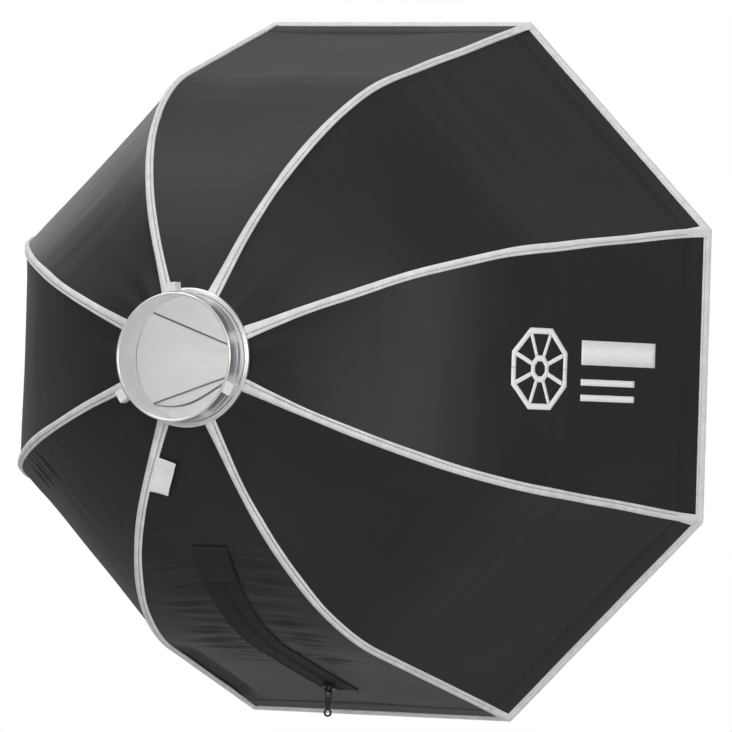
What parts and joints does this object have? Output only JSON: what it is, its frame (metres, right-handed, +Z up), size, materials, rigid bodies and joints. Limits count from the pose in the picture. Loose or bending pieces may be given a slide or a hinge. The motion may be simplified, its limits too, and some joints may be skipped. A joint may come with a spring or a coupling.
{
  "type": "octabox",
  "caption": "Folding octagonal softbox with bayonet mount, hinged spring ribs, black canopy with a zip, inner baffle and recessed front diffuser.",
  "frame": {"origin": "centre of the mount tube's rear rim, on the lens axis", "axes": "+Y forward along the lens axis, out of the front diffuser; +Z up; +X to the right seen from behind"},
  "size_m": [0.5544, 0.3703, 0.5558],
  "materials": {
    "spun_aluminium": "spun, satin, bright",
    "ring_metal": "grey enamel, satin",
    "spring_steel": "drawn rod, satin",
    "black_plastic": "moulded, matt",
    "black_nylon": "coated woven nylon, soft sheen outside, silver inside",
    "white_diffusion": "thin translucent woven cloth, matt",
    "zip_tape": "woven tape, matt",
    "zip_metal": "black enamel on die-cast metal",
    "label_cloth": "woven label, matt, blank",
    "binding_tape": "light grey woven binding"
  },
  "bodies": {
    "root": {"mount_tube": "spun_aluminium", "bayonet_lug_1": "spun_aluminium", "bayonet_lug_2": "spun_aluminium", "bayonet_lug_3": "spun_aluminium", "rear_flange": "spun_aluminium", "rib_ring": "ring_metal", "hub_screw_1": "spring_steel", "hub_screw_2": "spring_steel", "hub_screw_3": "spring_steel", "hub_screw_4": "spring_steel", "rib_hinge_pin_1": "spring_steel", "rib_hinge_pin_2": "spring_steel", "rib_hinge_pin_3": "spring_steel", "rib_hinge_pin_4": "spring_steel", "rib_hinge_pin_5": "spring_steel", "rib_hinge_pin_6": "spring_steel", "rib_hinge_pin_7": "spring_steel", "rib_hinge_pin_8": "spring_steel", "front_diffuser": "white_diffusion", "inner_baffle": "white_diffusion"},
    "rib_1": {"rib_1": "spring_steel", "rib_tip_1": "black_plastic"},
    "rib_2": {"rib_2": "spring_steel", "rib_tip_2": "black_plastic"},
    "rib_3": {"rib_3": "spring_steel", "rib_tip_3": "black_plastic"},
    "rib_4": {"rib_4": "spring_steel", "rib_tip_4": "black_plastic"},
    "rib_5": {"rib_5": "spring_steel", "rib_tip_5": "black_plastic"},
    "rib_6": {"rib_6": "spring_steel", "rib_tip_6": "black_plastic"},
    "rib_7": {"rib_7": "spring_steel", "rib_tip_7": "black_plastic"},
    "rib_8": {"rib_8": "spring_steel", "rib_tip_8": "black_plastic"},
    "panel_1_near_rib_1": {"panel_1_near_rib_1": "black_nylon"},
    "panel_1_near_rib_2": {"panel_1_near_rib_2": "black_nylon"},
    "panel_2_near_rib_2": {"panel_2_near_rib_2": "black_nylon"},
    "panel_2_near_rib_3": {"panel_2_near_rib_3": "black_nylon"},
    "panel_3_near_rib_3": {"panel_3_near_rib_3": "black_nylon"},
    "panel_3_near_rib_4": {"panel_3_near_rib_4": "black_nylon"},
    "panel_4_near_rib_4": {"panel_4_near_rib_4": "black_nylon"},
    "panel_4_near_rib_5": {"panel_4_near_rib_5": "black_nylon"},
    "panel_5_near_rib_5": {"panel_5_near_rib_5": "black_nylon", "zip_tape_near_rib_5": "zip_tape"},
    "panel_5_near_rib_6": {"panel_5_near_rib_6": "black_nylon", "zip_tape_near_rib_6": "zip_tape", "side_tag": "label_cloth"},
    "panel_6_near_rib_6": {"panel_6_near_rib_6": "black_nylon"},
    "panel_6_near_rib_7": {"panel_6_near_rib_7": "black_nylon"},
    "panel_7_near_rib_7": {"panel_7_near_rib_7": "black_nylon"},
    "panel_7_near_rib_8": {"panel_7_near_rib_8": "black_nylon"},
    "panel_8_near_rib_8": {"panel_8_near_rib_8": "black_nylon"},
    "panel_8_near_rib_1": {"panel_8_near_rib_1": "black_nylon"},
    "zip_slider": {"zip_slider": "zip_metal"},
    "zip_pull": {"zip_pull": "zip_metal"}
  },
  "joints": [
    {"name": "rib_1_fold", "type": "hinge", "parent": "root", "child": "rib_1", "pos_m": [-0.02296, 0.03289, 0.05543], "axis": [-0.9239, 0, -0.3827], "range_deg": [0, 36], "deforming": ["panel_1_near_rib_1", "panel_1_near_rib_2", "panel_2_near_rib_2", "panel_2_near_rib_3", "panel_3_near_rib_3", "panel_3_near_rib_4", "panel_4_near_rib_4", "panel_4_near_rib_5", "panel_5_near_rib_5", "zip_tape_near_rib_5", "panel_5_near_rib_6", "zip_tape_near_rib_6", "panel_6_near_rib_6", "panel_6_near_rib_7", "panel_7_near_rib_7", "panel_7_near_rib_8", "panel_8_near_rib_8", "panel_8_near_rib_1", "front_diffuser", "inner_baffle", "side_tag"]},
    {"name": "rib_2_fold", "type": "hinge", "parent": "root", "child": "rib_2", "pos_m": [0.02296, 0.03289, 0.05543], "axis": [-0.9239, 0, 0.3827], "range_deg": [0, 36]},
    {"name": "rib_3_fold", "type": "hinge", "parent": "root", "child": "rib_3", "pos_m": [0.05543, 0.03289, 0.02296], "axis": [-0.3827, 0, 0.9239], "range_deg": [0, 36]},
    {"name": "rib_4_fold", "type": "hinge", "parent": "root", "child": "rib_4", "pos_m": [0.05543, 0.03289, -0.02296], "axis": [0.3827, 0, 0.9239], "range_deg": [0, 36]},
    {"name": "rib_5_fold", "type": "hinge", "parent": "root", "child": "rib_5", "pos_m": [0.02296, 0.03289, -0.05543], "axis": [0.9239, 0, 0.3827], "range_deg": [0, 36]},
    {"name": "rib_6_fold", "type": "hinge", "parent": "root", "child": "rib_6", "pos_m": [-0.02296, 0.03289, -0.05543], "axis": [0.9239, 0, -0.3827], "range_deg": [0, 36]},
    {"name": "rib_7_fold", "type": "hinge", "parent": "root", "child": "rib_7", "pos_m": [-0.05543, 0.03289, -0.02296], "axis": [0.3827, 0, -0.9239], "range_deg": [0, 36]},
    {"name": "rib_8_fold", "type": "hinge", "parent": "root", "child": "rib_8", "pos_m": [-0.05543, 0.03289, 0.02296], "axis": [-0.3827, 0, -0.9239], "range_deg": [0, 36]},
    {"name": "panel_1_crease_near_rib_1", "type": "hinge", "parent": "rib_1", "child": "panel_1_near_rib_1", "pos_m": [-0.02296, 0.03289, 0.05543], "axis": [0.7369, -0.1087, 0.6672], "range_deg": [0, 20.15]},
    {"name": "panel_1_crease_near_rib_2", "type": "hinge", "parent": "rib_2", "child": "panel_1_near_rib_2", "pos_m": [0.02296, 0.03289, 0.05543], "axis": [0.7369, 0.1087, -0.6672], "range_deg": [0, 20.15]},
    {"name": "panel_2_crease_near_rib_2", "type": "hinge", "parent": "rib_2", "child": "panel_2_near_rib_2", "pos_m": [0.02296, 0.03289, 0.05543], "axis": [0.9929, -0.1087, -0.0493], "range_deg": [0, 20.15]},
    {"name": "panel_2_crease_near_rib_3", "type": "hinge", "parent": "rib_3", "child": "panel_2_near_rib_3", "pos_m": [0.05543, 0.03289, 0.02296], "axis": [0.0493, 0.1087, -0.9929], "range_deg": [0, 20.15]},
    {"name": "panel_3_crease_near_rib_3", "type": "hinge", "parent": "rib_3", "child": "panel_3_near_rib_3", "pos_m": [0.05543, 0.03289, 0.02296], "axis": [0.6672, -0.1087, -0.7369], "range_deg": [0, 20.15]},
    {"name": "panel_3_crease_near_rib_4", "type": "hinge", "parent": "rib_4", "child": "panel_3_near_rib_4", "pos_m": [0.05543, 0.03289, -0.02296], "axis": [-0.6672, 0.1087, -0.7369], "range_deg": [0, 20.15]},
    {"name": "panel_4_crease_near_rib_4", "type": "hinge", "parent": "rib_4", "child": "panel_4_near_rib_4", "pos_m": [0.05543, 0.03289, -0.02296], "axis": [-0.0493, -0.1087, -0.9929], "range_deg": [0, 20.15]},
    {"name": "panel_4_crease_near_rib_5", "type": "hinge", "parent": "rib_5", "child": "panel_4_near_rib_5", "pos_m": [0.02296, 0.03289, -0.05543], "axis": [-0.9929, 0.1087, -0.0493], "range_deg": [0, 20.15]},
    {"name": "panel_5_crease_near_rib_5", "type": "hinge", "parent": "rib_5", "child": "panel_5_near_rib_5", "pos_m": [0.02296, 0.03289, -0.05543], "axis": [-0.7369, -0.1087, -0.6672], "range_deg": [0, 20.15]},
    {"name": "panel_5_crease_near_rib_6", "type": "hinge", "parent": "rib_6", "child": "panel_5_near_rib_6", "pos_m": [-0.02296, 0.03289, -0.05543], "axis": [-0.7369, 0.1087, 0.6672], "range_deg": [0, 20.15]},
    {"name": "panel_6_crease_near_rib_6", "type": "hinge", "parent": "rib_6", "child": "panel_6_near_rib_6", "pos_m": [-0.02296, 0.03289, -0.05543], "axis": [-0.9929, -0.1087, 0.0493], "range_deg": [0, 20.15]},
    {"name": "panel_6_crease_near_rib_7", "type": "hinge", "parent": "rib_7", "child": "panel_6_near_rib_7", "pos_m": [-0.05543, 0.03289, -0.02296], "axis": [-0.0493, 0.1087, 0.9929], "range_deg": [0, 20.15]},
    {"name": "panel_7_crease_near_rib_7", "type": "hinge", "parent": "rib_7", "child": "panel_7_near_rib_7", "pos_m": [-0.05543, 0.03289, -0.02296], "axis": [-0.6672, -0.1087, 0.7369], "range_deg": [0, 20.15]},
    {"name": "panel_7_crease_near_rib_8", "type": "hinge", "parent": "rib_8", "child": "panel_7_near_rib_8", "pos_m": [-0.05543, 0.03289, 0.02296], "axis": [0.6672, 0.1087, 0.7369], "range_deg": [0, 20.15]},
    {"name": "panel_8_crease_near_rib_8", "type": "hinge", "parent": "rib_8", "child": "panel_8_near_rib_8", "pos_m": [-0.05543, 0.03289, 0.02296], "axis": [0.0493, -0.1087, 0.9929], "range_deg": [0, 20.15]},
    {"name": "panel_8_crease_near_rib_1", "type": "hinge", "parent": "rib_1", "child": "panel_8_near_rib_1", "pos_m": [-0.02296, 0.03289, 0.05543], "axis": [0.9929, 0.1087, 0.0493], "range_deg": [0, 20.15]},
    {"name": "zip_slide", "type": "hinge", "parent": "panel_5_near_rib_5", "child": "zip_slider", "pos_m": [0, 0.32182, 0.12217], "axis": [1, 0, 0], "range_deg": [-30.6, 0]},
    {"name": "zip_pull_swing", "type": "hinge", "parent": "zip_slider", "child": "zip_pull", "pos_m": [0, 0.27583, -0.25761], "axis": [1, 0, 0], "range_deg": [-90, 60]}
  ],
  "couplings": [
    {"joint": "rib_2_fold", "follows": "rib_1_fold", "ratio": 1},
    {"joint": "rib_3_fold", "follows": "rib_1_fold", "ratio": 1},
    {"joint": "rib_4_fold", "follows": "rib_1_fold", "ratio": 1},
    {"joint": "rib_5_fold", "follows": "rib_1_fold", "ratio": 1},
    {"joint": "rib_6_fold", "follows": "rib_1_fold", "ratio": 1},
    {"joint": "rib_7_fold", "follows": "rib_1_fold", "ratio": 1},
    {"joint": "rib_8_fold", "follows": "rib_1_fold", "ratio": 1},
    {"joint": "panel_1_crease_near_rib_1", "follows": "rib_1_fold", "ratio": 0.55969},
    {"joint": "panel_1_crease_near_rib_2", "follows": "rib_1_fold", "ratio": 0.55969},
    {"joint": "panel_2_crease_near_rib_2", "follows": "rib_1_fold", "ratio": 0.55969},
    {"joint": "panel_2_crease_near_rib_3", "follows": "rib_1_fold", "ratio": 0.55969},
    {"joint": "panel_3_crease_near_rib_3", "follows": "rib_1_fold", "ratio": 0.55969},
    {"joint": "panel_3_crease_near_rib_4", "follows": "rib_1_fold", "ratio": 0.55969},
    {"joint": "panel_4_crease_near_rib_4", "follows": "rib_1_fold", "ratio": 0.55969},
    {"joint": "panel_4_crease_near_rib_5", "follows": "rib_1_fold", "ratio": 0.55969},
    {"joint": "panel_5_crease_near_rib_5", "follows": "rib_1_fold", "ratio": 0.55969},
    {"joint": "panel_5_crease_near_rib_6", "follows": "rib_1_fold", "ratio": 0.55969},
    {"joint": "panel_6_crease_near_rib_6", "follows": "rib_1_fold", "ratio": 0.55969},
    {"joint": "panel_6_crease_near_rib_7", "follows": "rib_1_fold", "ratio": 0.55969},
    {"joint": "panel_7_crease_near_rib_7", "follows": "rib_1_fold", "ratio": 0.55969},
    {"joint": "panel_7_crease_near_rib_8", "follows": "rib_1_fold", "ratio": 0.55969},
    {"joint": "panel_8_crease_near_rib_8", "follows": "rib_1_fold", "ratio": 0.55969},
    {"joint": "panel_8_crease_near_rib_1", "follows": "rib_1_fold", "ratio": 0.55969}
  ]
}
